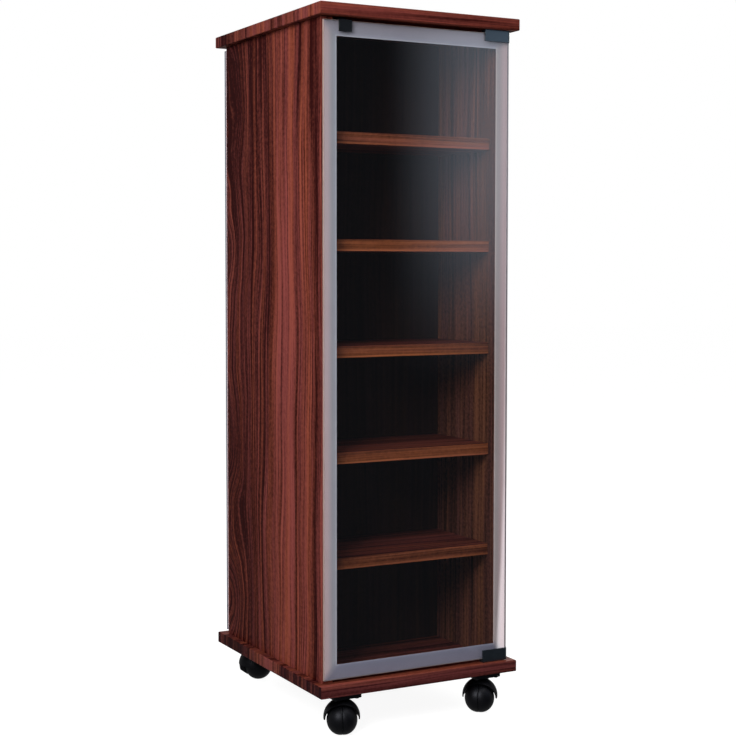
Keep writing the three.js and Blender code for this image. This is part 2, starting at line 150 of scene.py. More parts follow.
def range_of(tree, value, source=(0.0, 1.0), target=(0.0, 1.0), smooth=False):
    """A value brought from one range to another, and held at the ends of that one."""
    return add_node(tree, "MapRange", {
        "Value": value, "From Min": source[0], "From Max": source[1],
        "To Min": target[0], "To Max": target[1],
    }, interpolation_type="SMOOTHSTEP" if smooth else "LINEAR").outputs["Result"]


def parts_of(tree, vector):
    """The x, y and z of a vector."""
    return add_node(tree, "SeparateXYZ", {0: vector}).outputs


def noise_of(tree, vector, scale, detail, roughness=0.6):
    """A cloudy value that stays near one half."""
    return add_node(tree, "TexNoise", {
        "Vector": vector, "Scale": scale, "Detail": detail, "Roughness": roughness,
    }).outputs["Fac"]


def centred(tree, value, share):
    """How far a value lies from one half, times a share."""
    return times(tree, minus(tree, value, 0.5), share)


print("helpers that give back a value:", [made.__name__ for made in (math_of, range_of, noise_of, centred)])

# %% [markdown]
# Colours have helpers too. They are written as they look on screen, and turned into the linear values that a
# shader works in. A ramp gives a colour along a scale, and a tint multiplies one colour by another.

# %% Colour helpers
def linear(red, green, blue):
    """A colour given as it looks on screen, from 0 to 255, as linear values, by the curve of sRGB."""
    shares = (red / 255, green / 255, blue / 255)
    return tuple(s / 12.92 if s <= 0.04045 else ((s + 0.055) / 1.055) ** 2.4 for s in shares)


def ramp_of(tree, factor, stops):
    """The colour at a place on a ramp, whose stops are (position, colour or grey)."""
    ramp = add_node(tree, "ValToRGB", {"Fac": factor})
    elements = ramp.color_ramp.elements
    while len(elements) > 1:
        elements.remove(elements[-1])
    for index, (position, colour) in enumerate(stops):
        element = elements[0] if index == 0 else elements.new(position)
        element.position = position
        element.color = (*colour, 1.0) if isinstance(colour, tuple) else (colour, colour, colour, 1.0)
    return ramp.outputs["Color"]


def mixed(tree, factor, first, second, blend="MIX"):
    """Two colours mixed."""
    return add_node(
        tree, "Mix", {0: factor, 6: first, 7: second}, data_type="RGBA", blend_type=blend
    ).outputs[2]


def tinted(tree, colour, tint):
    """A colour multiplied by another."""
    return mixed(tree, 1.0, colour, tint, "MULTIPLY")


print("mahogany brown in linear values:", [round(c, 3) for c in linear(104, 52, 44)])

# %% [markdown]
# An effect that several finishes share is a node group, with named inputs and outputs. It is built once and
# placed in each material with values of its own. A material itself starts empty, and ends with one shader, or
# with two that are mixed.

# %% Group and material helpers
def start_group(name, inputs, outputs):
    """A node group with (name, kind, value) sockets, what it is given, and the results that it fills."""
    group = bpy.data.node_groups.new(name, "ShaderNodeTree")
    for in_out, sockets in (("INPUT", inputs), ("OUTPUT", outputs)):
        for socket_name, kind, *value in sockets:
            socket = group.interface.new_socket(socket_name, in_out=in_out, socket_type="NodeSocket" + kind)
            if value:
                socket.default_value = value[0]
    return group, group.nodes.new("NodeGroupInput").outputs, group.nodes.new("NodeGroupOutput").inputs


def place_group(tree, group, sockets):
    """A group's results, placed in a material with these inputs."""
    return add_node(tree, "Group", sockets, node_tree=group).outputs


def new_material(name):
    """A material with no nodes yet, and its tree."""
    material = bpy.data.materials.new(name)
    material.use_nodes = True
    material.node_tree.nodes.clear()
    return material, material.node_tree


def mixed_shaders(tree, share, first, second):
    """Two shaders mixed. share is the second one's."""
    return add_node(tree, "MixShader", {0: share, 1: first.outputs[0], 2: second.outputs[0]})


def close_material(tree, shader):
    """A shader becomes the surface of its material."""
    add_node(tree, "OutputMaterial", {"Surface": shader.outputs[0]})


def object_place(tree):
    """Where a point is on its object. Objects sit at the origin, so it is the place in the tower at rest."""
    return add_node(tree, "TexCoord").outputs["Object"]


print("materials so far:", len(bpy.data.materials))

# %% [markdown]
# The studio is a pale floor under a plain sky. The camera sees both as white, straight or through glass,
# while the sky's light on the object is plain and weak, so that a colour renders about as it is written.
# Mirrors see the weak sky too. A large lamp from the front left gives the side its slow fall from light to
# dark. A second one stands above the front, and a third behind the tower for the views from there.

# %% Sky and floor
SKY_LIGHT = 0.3
FLOOR_HALF = 12.0
FLOOR_SHADOW_SHARE = 0.3
FLOOR_WHITE = 1.32
FLOOR_BOUNCE, FLOOR_LOOK = 0.35, 0.82


def shows_background(tree):
    """1 for the rays that should see the plain background: those of the camera, straight or through glass."""
    path = add_node(tree, "LightPath").outputs
    return math_of(tree, "MAXIMUM", path["Is Camera Ray"], path["Is Transmission Ray"])


def flat_sheet(name, half):
    """A square sheet at the origin."""
    shape = bmesh.new()
    bmesh.ops.create_grid(shape, x_segments=1, y_segments=1, size=half)
    data = bpy.data.meshes.new(name)
    shape.to_mesh(data)
    shape.free()
    sheet = bpy.data.objects.new(name, data)
    bpy.context.scene.collection.objects.link(sheet)
    return sheet


world = bpy.data.worlds.new("studio")
bpy.context.scene.world = world
world.use_nodes = True
tree = world.node_tree
tree.nodes.clear()
sky_strength = range_of(tree, shows_background(tree), target=(SKY_LIGHT, 1.0))
sky = add_node(tree, "Background", {"Color": WHITE, "Strength": sky_strength})
add_node(tree, "OutputWorld", {"Surface": sky.outputs[0]})

floor = flat_sheet("floor", FLOOR_HALF)
floor.visible_glossy = False
floor_material, tree = new_material("pale studio floor")
from_camera = add_node(tree, "LightPath").outputs["Is Camera Ray"]
albedo = range_of(tree, from_camera, target=(FLOOR_BOUNCE, FLOOR_LOOK))
matt = add_node(tree, "BsdfDiffuse", {"Color": albedo})
plain = add_node(tree, "Emission", {"Color": WHITE, "Strength": FLOOR_WHITE})
plain_share = times(tree, shows_background(tree), 1.0 - FLOOR_SHADOW_SHARE)
close_material(tree, mixed_shaders(tree, plain_share, matt, plain))
floor.data.materials.append(floor_material)
print("floor", 2 * FLOOR_HALF, "m wide under a sky of strength", SKY_LIGHT)


# %% Lamps
def area_lamp(name, place, aim, side, watts):
    """A square soft lamp at a place, pointed at another."""
    data = bpy.data.lights.new(name, "AREA")
    data.size = side
    data.energy = watts
    lamp = bpy.data.objects.new(name, data)
    direction = (Vector(aim) - Vector(place)).normalized()
    lamp.matrix_world = Matrix.Translation(place) @ direction.to_track_quat("-Z", "Y").to_matrix().to_4x4()
    bpy.context.scene.collection.objects.link(lamp)
    return lamp


lamps = (
    area_lamp("key_lamp", (-1.35, -1.1, 1.35), (0.0, -0.1, 0.55), 0.9, 40.0),
    area_lamp("top_lamp", (0.4, -0.9, 2.6), (0.0, 0.0, 0.5), 1.6, 20.0),
    area_lamp("rear_lamp", (1.4, 1.7, 1.5), (0.0, 0.1, 0.5), 1.2, 30.0),
)
print("lamps:", {lamp.name: round(lamp.data.energy) for lamp in lamps}, "W")

# %% [markdown]
# Glass at this angle mirrors what stands at the front right. A white studio there would veil the whole door,
# so a photographer stands a dark card in that place and leaves it open at the upper right, where the picture
# has its one soft, bluish reflection. The card is seen by mirror rays only, and its tone is a gradient.

# %% Reflection card
CARD_WIDTH, CARD_HEIGHT = 2.4, 3.2
CARD_CENTRE = Vector((0.95, -1.9, 0.55))
CARD_AIM = Vector((0.0, -0.16, 0.55))
# The card opens between these shares of its width and of its height, counted from its middle.
OPENS_SIDEWAYS, OPENS_UPWARDS = (-0.02, 0.1), (-0.08, 0.12)
CARD_SHUT, CARD_OPEN = 0.06, 1.25
CARD_TINT = (0.76, 0.84, 1.0)

card = flat_sheet("reflection_card", 0.5)
card.matrix_world = (
    Matrix.Translation(CARD_CENTRE)
    @ (CARD_AIM - CARD_CENTRE).normalized().to_track_quat("Z", "Y").to_matrix().to_4x4()
    @ Matrix.Diagonal((CARD_WIDTH, CARD_HEIGHT, 1.0, 1.0))
)
for ray in ("camera", "diffuse", "transmission", "volume_scatter", "shadow"):
    setattr(card, "visible_" + ray, False)
card_material, tree = new_material("reflection card")
place = parts_of(tree, object_place(tree))
to_right = range_of(tree, times(tree, place[0], -1.0), OPENS_SIDEWAYS, smooth=True)
to_top = range_of(tree, place[1], OPENS_UPWARDS, smooth=True)
glow = range_of(tree, times(tree, to_right, to_top), target=(CARD_SHUT, CARD_OPEN))
close_material(tree, add_node(tree, "Emission", {"Color": CARD_TINT, "Strength": glow}))
card.data.materials.append(card_material)
print("card at", [round(c, 2) for c in CARD_CENTRE])

# %% [markdown]
# The boards are chipboard under a printed foil of reddish mahogany, dull enough to show only a broad sheen.
# A photograph of wood could be wrapped round them, but it would tile and stretch. Here the grain is worked
# out instead, in two steps. First a group bends the coordinates as a growing tree bends its rings: gently at
# the edge of the log, and strongly beyond a line called the heart, where a sawn board shows arches.

# %% Grain flow
# The noises that bend the grain gently and in arches: features per metre across and along it, and the lane.
GENTLE_BEND, ARCHED_BEND = (9.0, 2.6, 0.0), (6.0, 5.5, 3.1)
BEND_DETAIL, BEND_ROUGHNESS, BEND_DEPTH = 1.5, 0.45, 1.0
ARCH_STRENGTH = 2.6


def drawn_out_noise(tree, place, across, along, lane, detail, roughness=0.6, depth=4.0):
    """A noise drawn out along the grain. Scales are in features per metre, and lane picks a part of it."""
    vector = add_node(tree, "CombineXYZ", {
        0: times(tree, place[0], along),
        1: times(tree, place[1], across),
        2: plus(tree, times(tree, place[2], depth), lane),
    }).outputs[0]
    return noise_of(tree, vector, 1.0, detail, roughness)


def make_flow_group():
    tree, given, result = start_group(
        "grain flow",
        (("Vector", "Vector"), ("Flow", "Float", 0.03), ("Heart", "Float", 1.0)),
        (("Vector", "Vector"),),
    )
    place = parts_of(tree, given["Vector"])
    along, across, depth = place[0], place[1], place[2]

    def bend(noise, strength):
        drawn = drawn_out_noise(tree, place, *noise, BEND_DETAIL, BEND_ROUGHNESS, BEND_DEPTH)
        return centred(tree, drawn, strength)

    gentle = bend(GENTLE_BEND, given["Flow"])
    past_heart = math_of(tree, "MAXIMUM", minus(tree, across, given["Heart"]), 0.0)
    arched = bend(ARCHED_BEND, times(tree, past_heart, ARCH_STRENGTH))
    bent = plus(tree, across, plus(tree, gentle, arched))
    flowing = add_node(tree, "CombineXYZ", {0: along, 1: bent, 2: depth}).outputs[0]
    fill_socket(tree, result["Vector"], flowing)
    return tree


flow_group = make_flow_group()
print("flow group with", len(flow_group.nodes), "nodes")

# %% [markdown]
# The second group lays the wood's scales over each other: broad bands, growth rings that brighten slowly
# and end in a dark line, long streaks, a short mottle and the finest pores. Some streaks lean to purple and
# others to orange. Height and roughness follow the streaks and pores, so the surface changes with the colour.
# A board can also bring a tone of its own.

# %% Grain
# The noises of the grain: features per metre across and along it, the lane and the detail.
GRAIN_NOISES = {
    "bands": (38.0, 0.9, 0.0, 2.0),
    "stripes": (85.0, 1.4, 3.7, 2.0),
    "lines": (170.0, 2.2, 7.3, 3.0),
    "fine": (480.0, 5.0, 13.1, 2.0),
    "mottle": (210.0, 210.0, 17.9, 3.0),
    "pores": (1500.0, 42.0, 21.7, 2.0),
    "hue": (58.0, 1.2, 31.3, 2.0),
}
# How far each moves the wood between its dark and its light tone. The mottle has an input of its own.
BAND_SHARE, RING_SHARE = 1.7, 0.3
STREAK_SHARES = {"stripes": 1.1, "lines": 1.6, "fine": 1.4}
RINGS_PER_METRE, RING_WANDER, RING_RISE = 80.0, 3.0, 1.6
HUE_STOPS = ((0.38, 0.0), (0.62, 1.0))
PURPLE_LEAN, ORANGE_LEAN = (0.93, 0.94, 1.2), (1.05, 1.08, 0.88)
# A pore shows where its noise is low, and darkens, sinks and dulls the foil there.
PORE_RANGE = (0.26, 0.42)
PORE_DARKNESS, PORE_SINK, PORE_DULLNESS = 0.5, 0.5, 0.12
LINE_RANGE, LINE_ROUGHNESS = (0.3, 0.7), (0.52, 0.4)
FINE_HEIGHT = 0.5


def make_grain_group():
    tree, given, result = start_group(
        "wood grain",
        (
            ("Vector", "Vector"),
            ("Light", "Color", (0.2, 0.06, 0.05, 1.0)),
            ("Dark", "Color", (0.05, 0.012, 0.012, 1.0)),
            ("Tone", "Float", 0.5),
            ("Banding", "Float", 1.0),
            ("Contrast", "Float", 1.0),
            ("Mottle", "Float", 1.5),
        ),
        (("Color", "Color"), ("Height", "Float"), ("Roughness", "Float")),
    )
    place = parts_of(tree, given["Vector"])
    noises = {name: drawn_out_noise(tree, place, *numbers) for name, numbers in GRAIN_NOISES.items()}
    wandering = times(tree, noises["bands"], RING_WANDER)
    ring_phase = minus(tree, wandering, times(tree, place[1], RINGS_PER_METRE))
    ring = math_of(tree, "POWER", math_of(tree, "FRACT", ring_phase), RING_RISE)
    tone = given["Tone"]
    for part in (
        times(tree, centred(tree, noises["bands"], BAND_SHARE), given["Banding"]),
        centred(tree, ring, RING_SHARE),
        *(centred(tree, noises[name], share) for name, share in STREAK_SHARES.items()),
        centred(tree, noises["mottle"], given["Mottle"]),
    ):
        tone = plus(tree, tone, part)
    tone = math_of(tree, "ADD", centred(tree, tone, given["Contrast"]), 0.5, clamp=True)
    hue = mixed(tree, ramp_of(tree, noises["hue"], HUE_STOPS), PURPLE_LEAN, ORANGE_LEAN)
    wood = tinted(tree, mixed(tree, tone, given["Dark"], given["Light"]), hue)
    pore = range_of(tree, noises["pores"], PORE_RANGE, (1.0, 0.0))
    fill_socket(tree, result["Color"], mixed(tree, times(tree, pore, PORE_DARKNESS), wood, given["Dark"]))
    height = minus(tree, times(tree, noises["fine"], FINE_HEIGHT), times(tree, pore, PORE_SINK))
    fill_socket(tree, result["Height"], height)
    rough = range_of(tree, noises["lines"], LINE_RANGE, LINE_ROUGHNESS)
    fill_socket(tree, result["Roughness"], plus(tree, rough, times(tree, pore, PORE_DULLNESS)))
    return tree


grain_group = make_grain_group()
print("grain group with", len(grain_group.nodes), "nodes")

# %% [markdown]
# Handling leaves a faint unevenness in the gloss of anything smooth: wiped dust, finger grease, mould marks.
# One small group gives it to the plastics, the lacquer, the metal and the print, each with its own scale.

# %% Handling marks
CLOUD_DETAIL, CLOUD_RANGE = 4.0, (0.35, 0.65)
SPECKLES_PER_CLOUD, SPECKLE_DETAIL = 45.0, 2.0


def make_handling_group():
    tree, given, result = start_group(
        "handling marks",
        (
            ("Vector", "Vector"),
            ("Scale", "Float", 40.0),
            ("Base Roughness", "Float", 0.4),
            ("Roughness Spread", "Float", 0.15),
        ),
        (("Roughness", "Float"), ("Height", "Float"), ("Mask", "Float")),
    )
    cloud = noise_of(tree, given["Vector"], given["Scale"], CLOUD_DETAIL)
    speckle_scale = times(tree, given["Scale"], SPECKLES_PER_CLOUD)
    spread = centred(tree, cloud, given["Roughness Spread"])
    fill_socket(tree, result["Roughness"], plus(tree, given["Base Roughness"], spread))
    fill_socket(tree, result["Height"], noise_of(tree, given["Vector"], speckle_scale, SPECKLE_DETAIL))
    fill_socket(tree, result["Mask"], range_of(tree, cloud, CLOUD_RANGE))
    return tree


handling_group = make_handling_group()


def handling_marks(tree, scale, roughness, spread):
    """The handling group, placed with its scale, a roughness to start from and how far that varies."""
    return place_group(tree, handling_group, {
        "Vector": object_place(tree), "Scale": scale, "Base Roughness": roughness, "Roughness Spread": spread,
    })


def bumped(tree, height, strength, distance):
    """A normal that follows a height."""
    return add_node(tree, "Bump", {
        "Height": height, "Strength": strength, "Distance": distance,
    }).outputs["Normal"]


print("handling group with", len(handling_group.nodes), "nodes")

# %% [markdown]
# Each finish is one material. The wood finishes share the grain group, and differ in how the foil is turned:
# up the side panels, along the boards and shelves, and across the ends of the boards, where a strip of edging
# foil shows short upright streaks. A panel's foil and the ends also have broad strips, laid out one by one.
# On a panel these are partly a painted shade that darkens its rear, and all the strips get a painted shade
# that darkens them towards the top of the case.

# %% Directions and strips of the foils
QUARTER = math.pi / 2
# A point mapped by these turns has the grain's direction as its x and the way across it as its y.
UPRIGHT_GRAIN = (0.0, QUARTER, 0.0)
UPRIGHT_SHEET_GRAIN = (QUARTER, 0.0, QUARTER)
LEVEL_FACE_GRAIN = (0.0, 0.0, 0.0)
LEVEL_EDGE_GRAIN = (QUARTER, 0.0, 0.0)

panel_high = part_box("left_side_panel")[1]
PANEL_HALF_DEPTH = panel_high.y
# A pair is a share of the way from the rear edge to the front edge, and the strip's tone there.
# On the panel the tones are the wood's own broad strips, and partly a painted shade that darkens its rear.
PANEL_STRIPS_AND_SHADE = (
    (0.0, 0.22), (0.14, 0.14), (0.28, 0.25), (0.46, 0.32), (0.56, 0.68), (0.69, 0.92), (0.715, 0.36),
    (0.81, 0.74), (0.91, 0.22), (0.96, 0.45), (1.0, 1.0),
)
TOP_END_STRIPS = (
    (0.0, 0.5), (0.15, 0.48), (0.24, 0.66), (0.36, 0.86), (0.52, 0.88), (0.6, 0.48), (0.7, 0.55),
    (0.8, 0.82), (1.0, 0.72),
)
# The base ends' strips are mostly darker than the top's, a painted shade low on the case.
BASE_END_STRIPS_AND_SHADE = (
    (0.0, 0.2), (0.1, 0.02), (0.2, 0.04), (0.3, 0.38), (0.4, 0.64), (0.54, 0.84), (0.62, 0.56),
    (0.7, 0.2), (0.84, 0.2), (1.0, 0.06),
)
# A painted shade: how much darker a foil with strips is at a share of the panel's height above the floor.
PAINTED_SHADE_BY_HEIGHT = ((0.0, 0.02), (0.3, 0.0), (0.65, 0.0), (1.0, 0.17))
FADE_HEIGHT = panel_high.z
print("panel foil with", len(PANEL_STRIPS_AND_SHADE), "strip tones, darker by", PAINTED_SHADE_BY_HEIGHT[-1][1], "at its top")

# %% Wood material
# A shelf's edging has a painted highlight along its foot, a pale line where its lower edge catches light.
# The shelves of a side are evenly spaced, so one rule serves all.
SHELF_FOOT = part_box("front_shelf_1")[0].z
SHELF_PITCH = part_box("front_shelf_2")[0].z - SHELF_FOOT
FOOT_HIGHLIGHT_START, FOOT_HIGHLIGHT_END = 1.6 * MM, 3.6 * MM
WOOD_SPECULAR = 0.03
GRAIN_BUMP, GRAIN_HEIGHT = 0.12, 0.06 * MM


def painted_highlight_along_foot(tree):
    """1 along the lower side of every shelf, where the painted highlight goes, and 0 above it."""
    height = parts_of(tree, object_place(tree))[2]
    shelves_up = math_of(tree, "DIVIDE", minus(tree, height, SHELF_FOOT), SHELF_PITCH)
    above_foot = times(tree, math_of(tree, "FRACT", shelves_up), SHELF_PITCH)
    return range_of(tree, above_foot, (FOOT_HIGHLIGHT_END, FOOT_HIGHLIGHT_START), smooth=True)


def strip_tone(tree, place, strips):
    """The tone of the strip that a point is in, less the painted shade at its height."""
    share = range_of(tree, place[1], (PANEL_HALF_DEPTH, -PANEL_HALF_DEPTH))
    painted_height_shade = ramp_of(tree, math_of(tree, "DIVIDE", place[0], FADE_HEIGHT), PAINTED_SHADE_BY_HEIGHT)
    return minus(tree, ramp_of(tree, share, strips), painted_height_shade)


def wood_material(
    name, turn, lane, light, dark, tone=0.45, flow=0.03, contrast=1.0, banding=1.0, mottle=1.5, strips=(),
    heart=1.0, foot_highlight=0.0,
):
    """A foil of wood between two tones. turn gives the grain's direction, and lane picks a part of it."""
    material, tree = new_material(name)
    turned = add_node(tree, "Mapping", {
        "Vector": object_place(tree), "Rotation": turn, "Location": (0.0, 0.0, lane),
    }).outputs["Vector"]
    bent = place_group(tree, flow_group, {"Vector": turned, "Flow": flow, "Heart": heart})["Vector"]
    if strips:
        tone = strip_tone(tree, parts_of(tree, bent), strips)
    if foot_highlight:
        tone = plus(tree, tone, times(tree, painted_highlight_along_foot(tree), foot_highlight))
    grain = place_group(tree, grain_group, {
        "Vector": bent, "Light": linear(*light), "Dark": linear(*dark), "Tone": tone, "Banding": banding,
        "Contrast": contrast, "Mottle": mottle,
    })
    close_material(tree, add_node(tree, "BsdfPrincipled", {
        "Base Color": grain["Color"],
        "Roughness": grain["Roughness"],
        "Specular IOR Level": WOOD_SPECULAR,
        "Normal": bumped(tree, grain["Height"], GRAIN_BUMP, GRAIN_HEIGHT),
    }))
    return material


# %% Wood finishes
panel_wood = wood_material(
    "mahogany foil, upright", UPRIGHT_GRAIN, 0.31, (135, 65, 53), (39, 3, 3),
    flow=0.06, banding=0.35, mottle=0.8, strips=PANEL_STRIPS_AND_SHADE, heart=0.07,
)
upright_edge_wood = wood_material(
    "mahogany edging, upright", UPRIGHT_SHEET_GRAIN, 0.52, (136, 66, 54), (40, 4, 4),
    tone=0.6, flow=0.012, banding=0.4, mottle=0.4,
)
inner_wood = wood_material(
    "mahogany foil, inside", UPRIGHT_GRAIN, 0.66, (112, 66, 52), (44, 22, 16),
    tone=0.5, banding=0.7,
)
board_wood = wood_material(
    "mahogany foil, level", LEVEL_FACE_GRAIN, 0.13, (124, 61, 50), (38, 4, 4), mottle=0.9,
)
edge_wood = wood_material(
    "mahogany edging, level", LEVEL_EDGE_GRAIN, 0.07, (130, 61, 52), (36, 3, 3),
    tone=0.57, flow=0.012, contrast=0.75, banding=0.3, mottle=0.5,
)
# The base board's edging and ends are darker copies of the top board's, a painted shade low on the case.
low_edge_wood_painted_shade = wood_material(
    "mahogany edging, base", LEVEL_EDGE_GRAIN, 0.21, (114, 57, 49), (32, 4, 4),
    tone=0.44, flow=0.012, banding=0.4, mottle=0.5,
)
end_wood = wood_material(
    "mahogany edging, ends", UPRIGHT_GRAIN, 0.83, (136, 67, 55), (40, 4, 4),
    flow=0.02, banding=0.3, mottle=0.6, strips=TOP_END_STRIPS,
)
low_end_wood_painted_shade = wood_material(
    "mahogany edging, base ends", UPRIGHT_GRAIN, 0.42, (124, 62, 52), (34, 6, 9),
    flow=0.02, banding=0.3, mottle=0.6, strips=BASE_END_STRIPS_AND_SHADE,
)
# Its edging gets the painted highlight along the foot of each shelf.
shelf_edge_wood = wood_material(
    "walnut edging, level", LEVEL_EDGE_GRAIN, 0.57, (158, 86, 56), (57, 25, 14),
    tone=0.42, flow=0.012, contrast=0.75, banding=0.2, mottle=0.6, foot_highlight=0.6,
)
hardboard = wood_material(
    "stained hardboard", UPRIGHT_SHEET_GRAIN, 0.2, (46, 26, 21), (22, 12, 10),
    tone=0.5, flow=0.02, contrast=0.5,
)
print("materials with the wood finishes:", len(bpy.data.materials))

# %% [markdown]
# The doors are clear float glass. A flat pane hardly moves what is seen through it, so its faces mix plain
# transparency with a mirror, and Fresnel's law sets the share of each. That also lets the lamps light the
# case through the door. The pane's cut edges are frosted. The front one has a painted warm light on it, and
# the rear one the blue-grey that float glass has in depth, darkened by a painted shade.

# %% Glass
GLASS_TINT, GLASS_IOR = (0.95, 0.965, 0.96), 1.52
# Both faces of a real pane mirror. Here only the nearer one does, so its share is raised.
MIRROR_GAIN = 1.8
# A painted shade on an edge where it is seen from inside the pane.
EDGE_SHADE_FROM_INSIDE = linear(92, 84, 88)
EDGE_LETS_PAST = 0.9


def glass_material():
    material, tree = new_material("clear float glass")
    marks = handling_marks(tree, scale=9.0, roughness=0.03, spread=0.04)
    through = add_node(tree, "BsdfTransparent", {"Color": GLASS_TINT})
    mirror = add_node(tree, "BsdfGlossy", {"Color": WHITE, "Roughness": marks["Roughness"]})
    fresnel = add_node(tree, "Fresnel", {"IOR": GLASS_IOR}).outputs[0]
    nearer = minus(tree, 1.0, add_node(tree, "NewGeometry").outputs["Backfacing"])
    share = math_of(tree, "MULTIPLY", nearer, times(tree, fresnel, MIRROR_GAIN), clamp=True)
    close_material(tree, mixed_shaders(tree, share, through, mirror))
    return material


def glass_edge_material(name, tones):
    """A ground edge. Seen from inside the pane it takes a painted shade, and it lets the lamps' light past."""
    material, tree = new_material(name)
    marks = handling_marks(tree, scale=60.0, roughness=0.4, spread=0.2)
    from_inside = add_node(tree, "NewGeometry").outputs["Backfacing"]
    ground = add_node(tree, "BsdfPrincipled", {
        "Base Color": mixed(tree, from_inside, mixed(tree, marks["Mask"], *tones), EDGE_SHADE_FROM_INSIDE),
        "Roughness": marks["Roughness"],
        "Normal": bumped(tree, marks["Height"], 0.3, 0.08 * MM),
    })
    through = add_node(tree, "BsdfTransparent", {"Color": WHITE})
    for_lamps = times(tree, add_node(tree, "LightPath").outputs["Is Shadow Ray"], EDGE_LETS_PAST)
    close_material(tree, mixed_shaders(tree, for_lamps, ground, through))
    return material


door_glass = glass_material()
# The front edge's warm tones are painted light, and the rear edge's tones are partly a painted shade.
glass_edge = {
    "front": glass_edge_material("frosted glass edge, front, painted warm light", (linear(150, 126, 119), linear(162, 139, 131))),
    "rear": glass_edge_material("frosted glass edge, rear, painted shade", (linear(84, 92, 106), linear(98, 106, 120))),
}
print("glass:", door_glass.name, "with", [edge.name for edge in glass_edge.values()])

# %% [markdown]
# The border of the door is a satin print, a thin milky film behind the glass that lets some colour through.
# Its tone turns from pinkish at the pane's edge to bluish inside, with a pale line round the clear window.
# Low down on the hinge side the bright background shines through the film. A little emission stands for that.

# %% Satin print
BORDER_WIDTH, HINGE_BORDER_WIDTH = 20.7 * MM, 18.7 * MM
TOP_BORDER_WIDTH, LOW_BORDER_WIDTH = 20.4 * MM, 19.6 * MM
# Tones at shares of the way from the window out to the pane's edge, on the sides and on the two rails.
SIDE_TONES = (
    (0.05, linear(178, 176, 187)), (0.12, linear(156, 156, 166)), (0.3, linear(154, 151, 160)),
    (0.65, linear(187, 167, 173)), (1.0, linear(192, 168, 170)),
)
RAIL_TONES = (
    (0.05, linear(167, 164, 178)), (0.12, linear(150, 146, 162)), (0.3, linear(147, 142, 157)),
    (1.0, linear(153, 143, 156)),
)
# What multiplies them: the sides at top and foot, the hinge side at the window and at the edge, the low rail.
# The sides' tints paint a shade at the top and light towards the foot.
SIDE_SHADE_AND_LIGHT_TINTS = ((0.94, 0.94, 0.96), (1.36, 1.3, 1.32))
HINGE_TINTS = ((1.2, 1.0, 0.86), (1.03, 0.98, 0.99))
# The low rail's tint is a painted shade.
LOW_RAIL_SHADE_TINT = (0.91, 0.92, 1.03)
CORNER_BLEND = (-8.0 * MM, 6.0 * MM)
CLOUD_TONE, CLOUD_SHARE = linear(200, 200, 208), 0.06
PRINT_ALPHA = 0.86
# How early the light behind the hinge side shows, at a share of the way down the window.
GLOW_ONSET = ((0.0, 0.0), (0.6, 0.3), (0.73, 0.36), (0.86, 0.56), (0.925, 0.74), (1.0, 0.9))
GLOW_RANGE, GLOW_STRENGTH, GLOW_TINT = (1.05, 1.45), 0.42, (0.94, 0.96, 1.0)


def window_of(side):
    """The lowest and highest corners of the clear window inside a door's border."""
    low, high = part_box(side + "_glass_pane")
    widths = (BORDER_WIDTH, HINGE_BORDER_WIDTH)
    left, right = widths if side == "front" else reversed(widths)
    return (
        Vector((low.x + left, low.y, low.z + LOW_BORDER_WIDTH)),
        Vector((high.x - right, high.y, high.z - TOP_BORDER_WIDTH)),
    )


def outside_of(tree, value, low, high):
    """How far a value lies outside the stretch from low to high. Inside it, the result is negative."""
    from_middle = math_of(tree, "ABSOLUTE", minus(tree, value, (low + high) / 2))
    return minus(tree, from_middle, (high - low) / 2)


def print_material():
    material, tree = new_material("satin print")
    marks = handling_marks(tree, scale=14.0, roughness=0.55, spread=0.1)
    place = parts_of(tree, object_place(tree))
    low, high = window_of("front")
    past_side = outside_of(tree, place[0], low.x, high.x)
    past_end = outside_of(tree, place[2], low.z, high.z)
    outward = math_of(tree, "DIVIDE", math_of(tree, "MAXIMUM", past_side, past_end), BORDER_WIDTH, clamp=True)
    downward = range_of(tree, place[2], (high.z, low.z))
    side_tone = ramp_of(tree, outward, SIDE_TONES)
    # The sides are painted darker at the top and lighter towards the foot, as shade and light.
    side = mixed(tree, downward, *(tinted(tree, side_tone, tint) for tint in SIDE_SHADE_AND_LIGHT_TINTS))
    hinge_share = math_of(tree, "DIVIDE", minus(tree, place[0], high.x), HINGE_BORDER_WIDTH, clamp=True)
    on_hinge_side = math_of(tree, "GREATER_THAN", hinge_share, 0.0)
    side = mixed(tree, on_hinge_side, side, tinted(tree, side, mixed(tree, hinge_share, *HINGE_TINTS)))
    rail_tone = ramp_of(tree, outward, RAIL_TONES)
    # The low half of the rails takes a painted shade.
    in_low_half = math_of(tree, "GREATER_THAN", downward, 0.5)
    rail = mixed(tree, in_low_half, rail_tone, tinted(tree, rail_tone, LOW_RAIL_SHADE_TINT))
    tone = mixed(tree, range_of(tree, minus(tree, past_end, past_side), CORNER_BLEND), side, rail)
    onset = plus(tree, hinge_share, ramp_of(tree, downward, GLOW_ONSET))
    glow = range_of(tree, onset, GLOW_RANGE, (0.0, GLOW_STRENGTH), smooth=True)
    close_material(tree, add_node(tree, "BsdfPrincipled", {
        "Base Color": mixed(tree, times(tree, marks["Mask"], CLOUD_SHARE), tone, CLOUD_TONE),
        "Roughness": marks["Roughness"],
        "Alpha": PRINT_ALPHA,
        "Normal": bumped(tree, marks["Height"], 0.1, 0.04 * MM),
        "Emission Color": GLOW_TINT,
        "Emission Strength": times(tree, glow, on_hinge_side),
    }))
    return material


satin_print = print_material()
print("print:", satin_print.name, "with", len(satin_print.node_tree.nodes), "nodes")

# %% [markdown]
# The small hardware is black lacquer on metal, moulded black plastic, turned steel, zinc screws and pale
# nylon. Black things look alive only through their gloss, so each has its own roughness and a fine skin.

